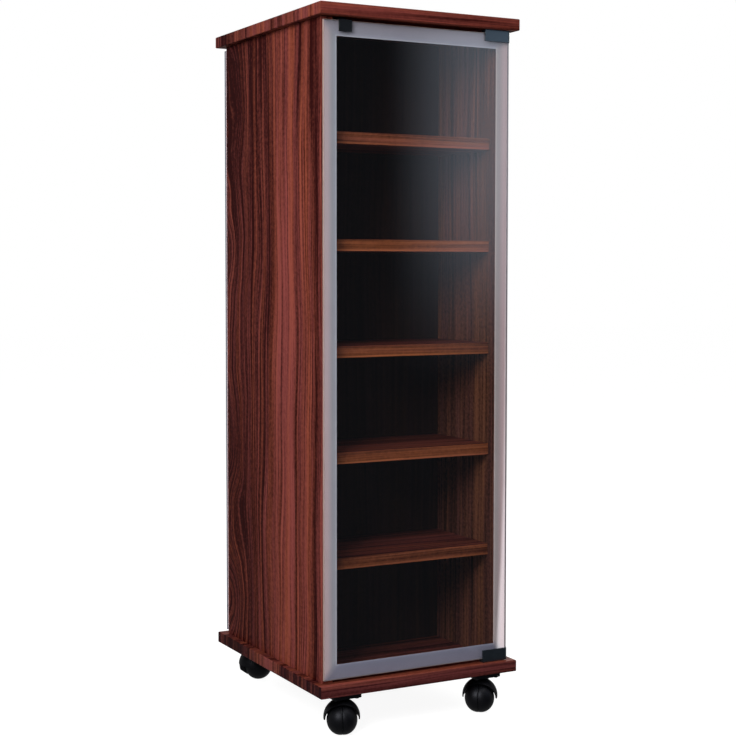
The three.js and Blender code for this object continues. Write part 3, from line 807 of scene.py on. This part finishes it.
# %% Hardware finishes
def plain_material(name, tones, roughness, spread, scale, metallic=0.0, specular=0.5, skin=0.05, sheen=WHITE):
    """A smooth material between two near tones. skin is how bumpy it is, and sheen tints its gloss,
    which paints a colour into its reflections.
    """
    material, tree = new_material(name)
    marks = handling_marks(tree, scale, roughness, spread)
    close_material(tree, add_node(tree, "BsdfPrincipled", {
        "Base Color": mixed(tree, marks["Mask"], *(linear(*tone) for tone in tones)),
        "Roughness": marks["Roughness"],
        "Metallic": metallic,
        "Specular IOR Level": specular,
        "Specular Tint": sheen,
        "Normal": bumped(tree, marks["Height"], skin, 0.05 * MM),
    }))
    return material


black_lacquer = plain_material(
    "black lacquered metal", ((7, 9, 12), (11, 14, 18)), roughness=0.25, spread=0.1, scale=30.0,
    specular=0.4,
)
# A lighter copy of the black lacquer with a blue tint in its gloss: painted light and a painted reflection.
clamp_lacquer_painted_sheen = plain_material(
    "black lacquered clamp, painted blue sheen", ((21, 23, 27), (25, 28, 32)), roughness=0.25, spread=0.1, scale=30.0,
    specular=1.0, sheen=(0.62, 0.85, 1.0),
)
# Its gloss is tinted slightly blue, a painted colour of reflection.
black_plastic = plain_material(
    "moulded black plastic", ((3, 3, 4), (5, 5, 7)), roughness=0.45, spread=0.1, scale=45.0,
    specular=0.17, skin=0.08, sheen=(0.86, 0.88, 1.0),
)
turned_steel = plain_material(
    "turned steel", ((150, 152, 155), (172, 174, 177)), roughness=0.3, spread=0.15, scale=60.0,
    metallic=1.0,
)
zinc_steel = plain_material(
    "zinc-plated screw", ((168, 166, 158), (192, 191, 186)), roughness=0.28, spread=0.15, scale=120.0,
    metallic=1.0,
)
pale_nylon = plain_material(
    "pale nylon", ((214, 210, 198), (224, 221, 211)), roughness=0.5, spread=0.12, scale=70.0,
    skin=0.08,
)
hardware = (black_lacquer, clamp_lacquer_painted_sheen, black_plastic, turned_steel, zinc_steel, pale_nylon)
print("hardware finishes:", [material.name for material in hardware])

# %% [markdown]
# Pieces are made in two ways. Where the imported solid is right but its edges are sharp, a copy of it is merged
# into a closed mesh, and a Bevel modifier rounds the edges, which catches the light as a real board's edge
# does. Where the solid is only a coarse stand-in, a new mesh is built. Either way a helper puts the mesh into
# an object at the origin, names the solid that it stands for, and lets it ride on that solid's body.

# %% Piece helpers
MERGE_DISTANCE = 1e-6
# In degrees: how far from flat two faces may be to be joined, and to be shaded as one.
FLAT_ANGLE, SMOOTH_ANGLE = 1.0, 30.0
bodies = frame["record"]["behaviour"]["bodies"]
body_of_node = {name: body for body, members in bodies.items() for name in members}


def add_piece(name, shape, body, materials, replaced=(), smooth_angle=None):
    """A finished bmesh as an object that rides on a body, and stands for the solids named in replaced."""
    data = bpy.data.meshes.new(name)
    shape.to_mesh(data)
    shape.free()
    for material in materials:
        data.materials.append(material)
    piece = bpy.data.objects.new(name, data)
    bpy.context.scene.collection.objects.link(piece)
    if smooth_angle is not None:
        data.polygons.foreach_set("use_smooth", [True] * len(data.polygons))
        data.set_sharp_from_angle(angle=math.radians(smooth_angle))
    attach(piece, body)
    if replaced:
        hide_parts(*replaced)
    return piece


def copy_of_solid(node):
    """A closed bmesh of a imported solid, with its loose triangles merged and its flat faces made whole."""
    shape = bmesh.new()
    shape.from_mesh(nodes[node].data)
    bmesh.ops.remove_doubles(shape, verts=shape.verts, dist=MERGE_DISTANCE)
    bmesh.ops.dissolve_limit(
        shape, angle_limit=math.radians(FLAT_ANGLE), verts=shape.verts, edges=shape.edges, delimit={"NORMAL"},
    )
    return shape


def round_edges(piece, width, segments=2, angle=SMOOTH_ANGLE):
    """A Bevel modifier on the edges sharper than an angle."""
    bevel = piece.modifiers.new("rounded edges", "BEVEL")
    bevel.width = width
    bevel.segments = segments
    bevel.limit_method = "ANGLE"
    bevel.angle_limit = math.radians(angle)
    bevel.harden_normals = True


def dress(node, shape, materials, width, segments=2):
    """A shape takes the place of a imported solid, with its edges rounded."""
    piece = add_piece(
        "dressed_" + node, shape, body_of_node[node], materials, (node,), SMOOTH_ANGLE,
    )
    round_edges(piece, width, segments)


def dress_copy(node, width, materials, choose=None, segments=2):
    """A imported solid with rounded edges. choose gives the number of a face's material."""
    shape = copy_of_solid(node)
    if choose:
        for face in shape.faces:
            face.material_index = choose(face)
    dress(node, shape, materials, width, segments)


def paint_solid(node, material):
    """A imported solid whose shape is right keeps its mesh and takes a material."""
    data = nodes[node].data
    data.materials.clear()
    data.materials.append(material)


print("bodies to ride on:", len(bodies))

# %% [markdown]
# The case: top and base board, two side panels, ten shelves and the thin partition between the two sides.
# A board shows the flat foil above and below, level edging along its front and back, and upright streaks at
# its ends, so a face takes its material from the way it faces.

# %% Case
# The share of its normal along an axis from which a face counts as looking that way.
LOOKS_ALONG = 0.8
FACE, LONG_EDGE, SHORT_END = 0, 1, 2
PANEL_INSIDE, PANEL_EDGE = 1, 2
BOARD_ROUNDING, PANEL_ROUNDING = 0.5 * MM, 0.6 * MM


def board_face(face):
    normal = face.normal
    if abs(normal.z) > LOOKS_ALONG:
        return FACE
    return LONG_EDGE if abs(normal.y) > abs(normal.x) else SHORT_END


def panel_face(face):
    """A panel shows one foil outside, another inside the case, and edging along its front and back."""
    if abs(face.normal.y) > LOOKS_ALONG:
        return PANEL_EDGE
    looks_inwards = face.normal.x * face.calc_center_median().x < 0.0
    return PANEL_INSIDE if looks_inwards and abs(face.normal.x) > LOOKS_ALONG else FACE


def shelf_face(face):
    return LONG_EDGE if abs(face.normal.y) > LOOKS_ALONG else FACE


for board, level, ends in (("top_board", edge_wood, end_wood), ("base_board", low_edge_wood_painted_shade, low_end_wood_painted_shade)):
    dress_copy(board, BOARD_ROUNDING, (board_wood, level, ends), board_face, segments=3)
for panel in ("left_side_panel", "right_side_panel"):
    dress_copy(panel, PANEL_ROUNDING, (panel_wood, inner_wood, upright_edge_wood), panel_face)
shelves = sorted(name for name in nodes if "_shelf_" in name)
for shelf in shelves:
    dress_copy(shelf, PANEL_ROUNDING, (board_wood, shelf_edge_wood), shelf_face)
paint_solid("centre_partition", hardboard)
print("case dressed: two boards, two panels,", len(shelves), "shelves")

# %% [markdown]
# Each door is one pane, held by two clamps at its hinge side and by a folded catch plate at its free top
# corner. The satin border is printed on the inner face, so it is a film one tenth of a millimetre thick: four
# faces round the clear window, extruded.

# %% Panes and borders
BORDER_MARGIN = 0.05 * MM
FILM_THICKNESS = 0.08 * MM
FILM_GAP = 0.02 * MM


def extruded(shape, faces, move):
    """Faces extruded by a move into a closed shape, with its normals made to point outwards."""
    raised = bmesh.ops.extrude_face_region(shape, geom=faces, use_keep_orig=True)
    moved = [item for item in raised["geom"] if isinstance(item, bmesh.types.BMVert)]
    bmesh.ops.translate(shape, verts=moved, vec=move)
    bmesh.ops.recalc_face_normals(shape, faces=shape.faces)


def dress_pane(side):
    """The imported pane, with a frosted material on its cut edges."""
    data = nodes[side + "_glass_pane"].data
    data.materials.clear()
    for material in (door_glass, glass_edge[side]):
        data.materials.append(material)
    for polygon in data.polygons:
        polygon.material_index = 0 if abs(polygon.normal.y) > LOOKS_ALONG else 1


def satin_border(side, facing):
    """The film behind a pane. facing is -1 for the door that looks towards -Y, and 1 for the other."""
    low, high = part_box(side + "_glass_pane")
    film_y = (low.y if facing > 0 else high.y) - facing * FILM_GAP
    shape = bmesh.new()
    margin = Vector((BORDER_MARGIN, 0.0, BORDER_MARGIN))
    outer, inner = (
        [shape.verts.new((x, film_y, z)) for x, z in ((a.x, a.z), (b.x, a.z), (b.x, b.z), (a.x, b.z))]
        for a, b in ((low + margin, high - margin), window_of(side))
    )
    for i, j in ((0, 1), (1, 2), (2, 3), (3, 0)):
        shape.faces.new((outer[i], outer[j], inner[j], inner[i]))
    extruded(shape, shape.faces[:], (0.0, -facing * FILM_THICKNESS, 0.0))
    add_piece(side + "_satin_border", shape, side + "_door", (satin_print,))


print("clear window:", [[round(c, 3) for c in corner] for corner in window_of("front")])

# %% Doors
# How far the clamp's edge towards the middle of the door is moved on, to where the picture has it.
CLAMP_GROWTH = {"top": -2.4 * MM, "bottom": 3.6 * MM}
CLAMP_ROUNDING, SET_SCREW_ROUNDING = 0.5 * MM, 0.15 * MM
SHEET_METAL_ROUNDING, HOUSING_ROUNDING = 0.25 * MM, 0.3 * MM


def dress_clamp(node, growth):
    """The hinge clamp, made longer or shorter towards the middle of the door."""
    low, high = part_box(node)
    shape = copy_of_solid(node)
    middle = (low.z + high.z) / 2
    moved = [vert for vert in shape.verts if (vert.co.z - middle) * growth > 0.0]
    bmesh.ops.translate(shape, verts=moved, vec=(0.0, 0.0, growth))
    dress(node, shape, (clamp_lacquer_painted_sheen,), CLAMP_ROUNDING)


for side, facing in (("front", -1), ("rear", 1)):
    dress_pane(side)
    satin_border(side, facing)
    for end, growth in CLAMP_GROWTH.items():
        hinge = f"{side}_{end}_hinge_"
        dress_clamp(hinge + "clamp", growth)
        paint_solid(hinge + "pin", turned_steel)
        paint_solid(hinge + "bush", pale_nylon)
        dress_copy(hinge + "set_screw", SET_SCREW_ROUNDING, (zinc_steel,))
    dress_copy(side + "_catch_plate", SHEET_METAL_ROUNDING, (black_lacquer,))
    dress_copy(side + "_latch_housing", HOUSING_ROUNDING, (black_plastic,))
    dress_copy(side + "_latch_plunger", SHEET_METAL_ROUNDING, (black_plastic,))
print("doors dressed, with a border of", round(BORDER_WIDTH / MM, 1), "mm and hinges at the", *CLAMP_GROWTH)

# %% [markdown]
# A ball castor is a pair of domed wheels under a thin hood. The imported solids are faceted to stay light, so
# the visual wheel is a profile spun in fine steps. The profile starts in the blind bore, goes up the inner
# face, over the narrow tread and round the dome to its pole. Its points on the axle are spun too, so the
# doubles there are merged before the normals are recalculated.

# %% Castor wheels
# These sizes are in millimetres, in a frame with the axle along y.
SPIN_STEPS = 72
CASTORS = ("front_left", "front_right", "rear_left", "rear_right")
WHEEL_RADIUS = 20.5
TREAD_START, TREAD_END, POLE = 0.36, 2.2, 21.0
TREAD_ROUNDING, TREAD_CORNER = 0.14, 0.04
BORE_RADIUS, BORE_END, BORE_CHAMFER = 2.8, 12.6, 0.3
HUB_RADIUS, HUB_SLOPE = 7.5, 0.3
RIM_RADIUS, RIM_SLOPE = 17.0, 0.4
HOLLOW_DEPTH = 0.9
DOME_STEPS = 20
WHEEL_SMOOTH_ANGLE = 35.0


def castor_matrix(castor):
    """From a castor's own frame, its axle along y and its wheels towards x, to its place in the tower."""
    swivel = Vector(joints[castor + "_swivel_turn"]["pos_m"])
    axle = Vector(joints[castor + "_wheel_a_roll"]["pos_m"])
    heading = (axle - swivel).to_2d().normalized()
    return Matrix.Translation(axle) @ Matrix.Rotation(math.atan2(heading.y, heading.x), 4, "Z")


def spun(profile, axis, closed=False):
    """A shape spun about the y or z axis, from (radius, distance along the axis) points in mm."""
    shape = bmesh.new()
    if axis == "y":
        verts = [shape.verts.new((radius * MM, along * MM, 0.0)) for radius, along in profile]
        direction = (0.0, 1.0, 0.0)
    else:
        verts = [shape.verts.new((radius * MM, 0.0, along * MM)) for radius, along in profile]
        direction = (0.0, 0.0, 1.0)
    edges = [shape.edges.new(pair) for pair in zip(verts, verts[1:])]
    if closed:
        edges.append(shape.edges.new((verts[-1], verts[0])))
    bmesh.ops.spin(
        shape, geom=verts + edges, cent=(0.0, 0.0, 0.0), axis=direction, angle=2 * math.pi, steps=SPIN_STEPS,
        use_merge=True,
    )
    bmesh.ops.remove_doubles(shape, verts=shape.verts, dist=MERGE_DISTANCE)
    bmesh.ops.recalc_face_normals(shape, faces=shape.faces)
    return shape


def wheel_profile():
    points = [
        (0.0, BORE_END),
        (BORE_RADIUS, BORE_END),
        (BORE_RADIUS, TREAD_START + BORE_CHAMFER),
        (BORE_RADIUS + BORE_CHAMFER, TREAD_START),
        (HUB_RADIUS, TREAD_START),
        (HUB_RADIUS + HUB_SLOPE, TREAD_START + HOLLOW_DEPTH),
        (RIM_RADIUS - RIM_SLOPE, TREAD_START + HOLLOW_DEPTH),
        (RIM_RADIUS, TREAD_START),
        (WHEEL_RADIUS - TREAD_ROUNDING, TREAD_START),
        (WHEEL_RADIUS - TREAD_CORNER, TREAD_START + TREAD_CORNER),
        (WHEEL_RADIUS, TREAD_START + TREAD_ROUNDING),
        (WHEEL_RADIUS, TREAD_END),
    ]
    for step in range(1, DOME_STEPS + 1):
        angle = QUARTER * step / DOME_STEPS
        radius = 0.0 if step == DOME_STEPS else WHEEL_RADIUS * math.cos(angle)
        points.append((radius, TREAD_END + (POLE - TREAD_END) * math.sin(angle)))
    return points


for castor in CASTORS:
    for letter, hand in (("a", 1), ("b", -1)):
        shape = spun([(radius, hand * along) for radius, along in wheel_profile()], "y")
        shape.transform(castor_matrix(castor))
        node = f"{castor}_castor_wheel_{letter}"
        add_piece(
            "dressed_" + node, shape, body_of_node[node], (black_plastic,), (node,),
            WHEEL_SMOOTH_ANGLE,
        )
print("wheels:", 2 * len(CASTORS), "of radius", WHEEL_RADIUS, "mm")

# %% [markdown]
# The hood is a ball-shaped shell, cut open by two planes that meet just below the axle. A sphere is turned so
# that its poles lie on the axle's line, two cuts open it, and solidify gives the wall. A collar turns on the
# kingpin above it, and a web between the wheels thickens behind them into a keel. These are cut by planes in
# the same way and ride with the hood.

# %% Castor hoods
HOOD_RADIUS, HOOD_WALL, HOOD_ROUNDING = 25.0 * MM, 1.7 * MM, 0.5 * MM
HOOD_CENTRE = Vector((-5.0, 0.0, 2.6)) * MM
HOOD_RINGS = 48
LIP_DROP = 0.6 * MM
FRONT_TILT, UNDER_TILT = math.radians(66), math.radians(-8)
HOOD_SMOOTH_ANGLE, HOOD_EDGE_ANGLE = 40.0, 50.0


def cut_away(shape, drop, tilt):
    """Removes what lies under a plane. drop is its depth below the axle, and tilt turns it to the front."""
    bmesh.ops.bisect_plane(
        shape, geom=shape.verts[:] + shape.edges[:] + shape.faces[:], plane_co=(0.0, 0.0, -drop),
        plane_no=(math.sin(tilt), 0.0, -math.cos(tilt)), clear_outer=True, dist=MERGE_DISTANCE,
    )


def open_edges(shape):
    return [edge for edge in shape.edges if edge.is_boundary]


def hood_shell():
    shape = bmesh.new()
    bmesh.ops.create_uvsphere(shape, u_segments=SPIN_STEPS, v_segments=HOOD_RINGS, radius=HOOD_RADIUS)
    bmesh.ops.rotate(shape, verts=shape.verts, cent=(0.0, 0.0, 0.0), matrix=Matrix.Rotation(QUARTER, 3, "X"))
    bmesh.ops.translate(shape, verts=shape.verts, vec=HOOD_CENTRE)
    cut_away(shape, LIP_DROP, FRONT_TILT)
    cut_away(shape, LIP_DROP, UNDER_TILT)
    bmesh.ops.recalc_face_normals(shape, faces=shape.faces)
    return shape


def dress_hood(castor):
    """The hood's shell in its place, with a wall and a rounded rim from modifiers."""
    shell = hood_shell()
    shell.transform(castor_matrix(castor))
    hood = add_piece(
        f"dressed_{castor}_castor_hood", shell, castor + "_swivel", (black_plastic,),
        (castor + "_castor_hood",), HOOD_SMOOTH_ANGLE,
    )
    wall = hood.modifiers.new("wall", "SOLIDIFY")
    wall.thickness = HOOD_WALL
    wall.offset = -1.0
    round_edges(hood, HOOD_ROUNDING, 3, HOOD_EDGE_ANGLE)


print("hood of radius", round(HOOD_RADIUS / MM, 1), "mm with a wall of", round(HOOD_WALL / MM, 1), "mm")

# %% Castor collars, webs and keels
# The collar's sizes are in millimetres, for its spun profile.
TRAIL = 11.0
NECK_RADIUS, NECK_TOP, NECK_FOOT, NECK_BORE = 11.5, 29.2, 17.0, 4.6
NECK_ROUNDING, NECK_CORNER = 0.6, 0.18
NECK_SEAT, NECK_SLANT = 22.6, math.radians(13.5)
WEB_RADIUS = HOOD_RADIUS - HOOD_WALL / 2
WEB_HALF, KEEL_HALF = 0.26 * MM, 3.0 * MM
KEEL_HOLLOW = 21.3 * MM
KEEL_FROM, KEEL_TO = 120.0, 262.0
KEEL_END_DROP, KEEL_END_TILT = 24.4 * MM, math.radians(-34)
KEEL_FOOT_DROP = 16.0 * MM
ARC_STEPS = 40
PLATE_ROUNDING = 0.4 * MM


def neck_shape():
    """A collar round the kingpin. Its foot is cut on a slant, so that it ends inside the hood's wall."""
    neck = spun([
        (NECK_BORE, NECK_FOOT),
        (NECK_BORE, NECK_TOP),
        (NECK_RADIUS - NECK_ROUNDING, NECK_TOP),
        (NECK_RADIUS - NECK_CORNER, NECK_TOP - NECK_CORNER),
        (NECK_RADIUS, NECK_TOP - NECK_ROUNDING),
        (NECK_RADIUS, NECK_FOOT),
    ], "z", closed=True)
    cut_away(neck, -NECK_SEAT * MM, NECK_SLANT)
    bmesh.ops.bridge_loops(neck, edges=open_edges(neck))
    bmesh.ops.translate(neck, verts=neck.verts, vec=(-TRAIL * MM, 0.0, 0.0))
    bmesh.ops.recalc_face_normals(neck, faces=neck.faces)
    return neck


def upright_plate(outline, half):
    """A plate across the axle, from its (x, z) outline, cut by the hood's front and the keel's end."""
    plate = bmesh.new()
    face = plate.faces.new([plate.verts.new((x, -half, z)) for x, z in outline])
    extruded(plate, [face], (0.0, 2 * half, 0.0))
    cut_away(plate, LIP_DROP, FRONT_TILT)
    cut_away(plate, KEEL_END_DROP, KEEL_END_TILT)
    cut_away(plate, KEEL_FOOT_DROP, 0.0)
    bmesh.ops.holes_fill(plate, edges=open_edges(plate), sides=0)
    bmesh.ops.recalc_face_normals(plate, faces=plate.faces)
    return plate


def arc(centre, radius, first, last):
    """Points round a centre, from one angle to another in degrees."""
    angles = [math.radians(first + (last - first) * step / ARC_STEPS) for step in range(ARC_STEPS + 1)]
    return [(centre.x + radius * math.cos(angle), centre.z + radius * math.sin(angle)) for angle in angles]


def web_shape():
    return upright_plate(arc(HOOD_CENTRE, WEB_RADIUS, 0.0, 360.0)[:-1], WEB_HALF)


def keel_shape():
    """A crescent behind the wheels, between the hood's arc and a hollow round the axle."""
    outside = arc(HOOD_CENTRE, WEB_RADIUS, KEEL_FROM, KEEL_TO)
    return upright_plate(outside + arc(Vector(), KEEL_HOLLOW, KEEL_TO, KEEL_FROM), KEEL_HALF)


for castor in CASTORS:
    dress_hood(castor)
    for name, make in (("neck", neck_shape), ("web", web_shape), ("keel", keel_shape)):
        shape = make()
        shape.transform(castor_matrix(castor))
        add_piece(
            f"{castor}_castor_{name}", shape, castor + "_swivel", (black_plastic,),
            smooth_angle=WHEEL_SMOOTH_ANGLE,
        )
    paint_solid(castor + "_castor_axle", turned_steel)
    dress_copy(castor + "_castor_plate", PLATE_ROUNDING, (black_plastic,))
print("hoods, collars, webs, keels and plates:", len(CASTORS), "of each")

# %% [markdown]
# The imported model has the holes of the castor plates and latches, but not their screws. Each head is a small
# pan with a round socket, spun and turned to face down, and the heads of one fitting make one object.

# %% Screw heads
PLATE_THICKNESS, PLATE_SCREW_INSET, PLATE_SCREW_RADIUS = 5.8 * MM, 5.5 * MM, 3.6
EAR_THICKNESS, EAR_SCREW_OFFSET, EAR_SCREW_RADIUS = 3.0 * MM, 10.75 * MM, 2.9
SCREW_SMOOTH_ANGLE = 40.0
# The profile of a head, from the floor of its socket to its seat, in shares of its radius.
PAN_HEAD = (
    (0.0, -0.25), (0.36, -0.25), (0.36, -0.55), (0.7, -0.5), (0.93, -0.32), (1.0, -0.1), (1.0, 0.0),
    (0.0, 0.0),
)


def screw_heads(name, places, radius, body, material):
    """Pan heads that hang under these places. Their radius is in mm."""
    heads = bmesh.new()
    for place in places:
        head = spun([(out * radius, down * radius) for out, down in PAN_HEAD], "z")
        bmesh.ops.translate(head, verts=head.verts, vec=place)
        data = bpy.data.meshes.new("head")
        head.to_mesh(data)
        head.free()
        heads.from_mesh(data)
        bpy.data.meshes.remove(data)
    add_piece(name, heads, body, (material,), smooth_angle=SCREW_SMOOTH_ANGLE)


for castor in CASTORS:
    plate = castor + "_castor_plate"
    low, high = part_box(plate)
    pivot = Vector(joints[castor + "_swivel_turn"]["pos_m"])
    reach = (high.x - low.x) / 2 - PLATE_SCREW_INSET
    underside = high.z - PLATE_THICKNESS
    places = [Vector((pivot.x + a * reach, pivot.y + b * reach, underside)) for a in (-1, 1) for b in (-1, 1)]
    screw_heads(castor + "_plate_screws", places, PLATE_SCREW_RADIUS, body_of_node[plate], black_lacquer)
for side in ("front", "rear"):
    housing = side + "_latch_housing"
    low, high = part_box(housing)
    middle = (low + high) / 2
    under_ears = high.z - EAR_THICKNESS
    places = [Vector((middle.x + hand * EAR_SCREW_OFFSET, middle.y, under_ears)) for hand in (-1, 1)]
    screw_heads(side + "_latch_screws", places, EAR_SCREW_RADIUS, body_of_node[housing], zinc_steel)
print("screws:", 4 * len(CASTORS) + 4)
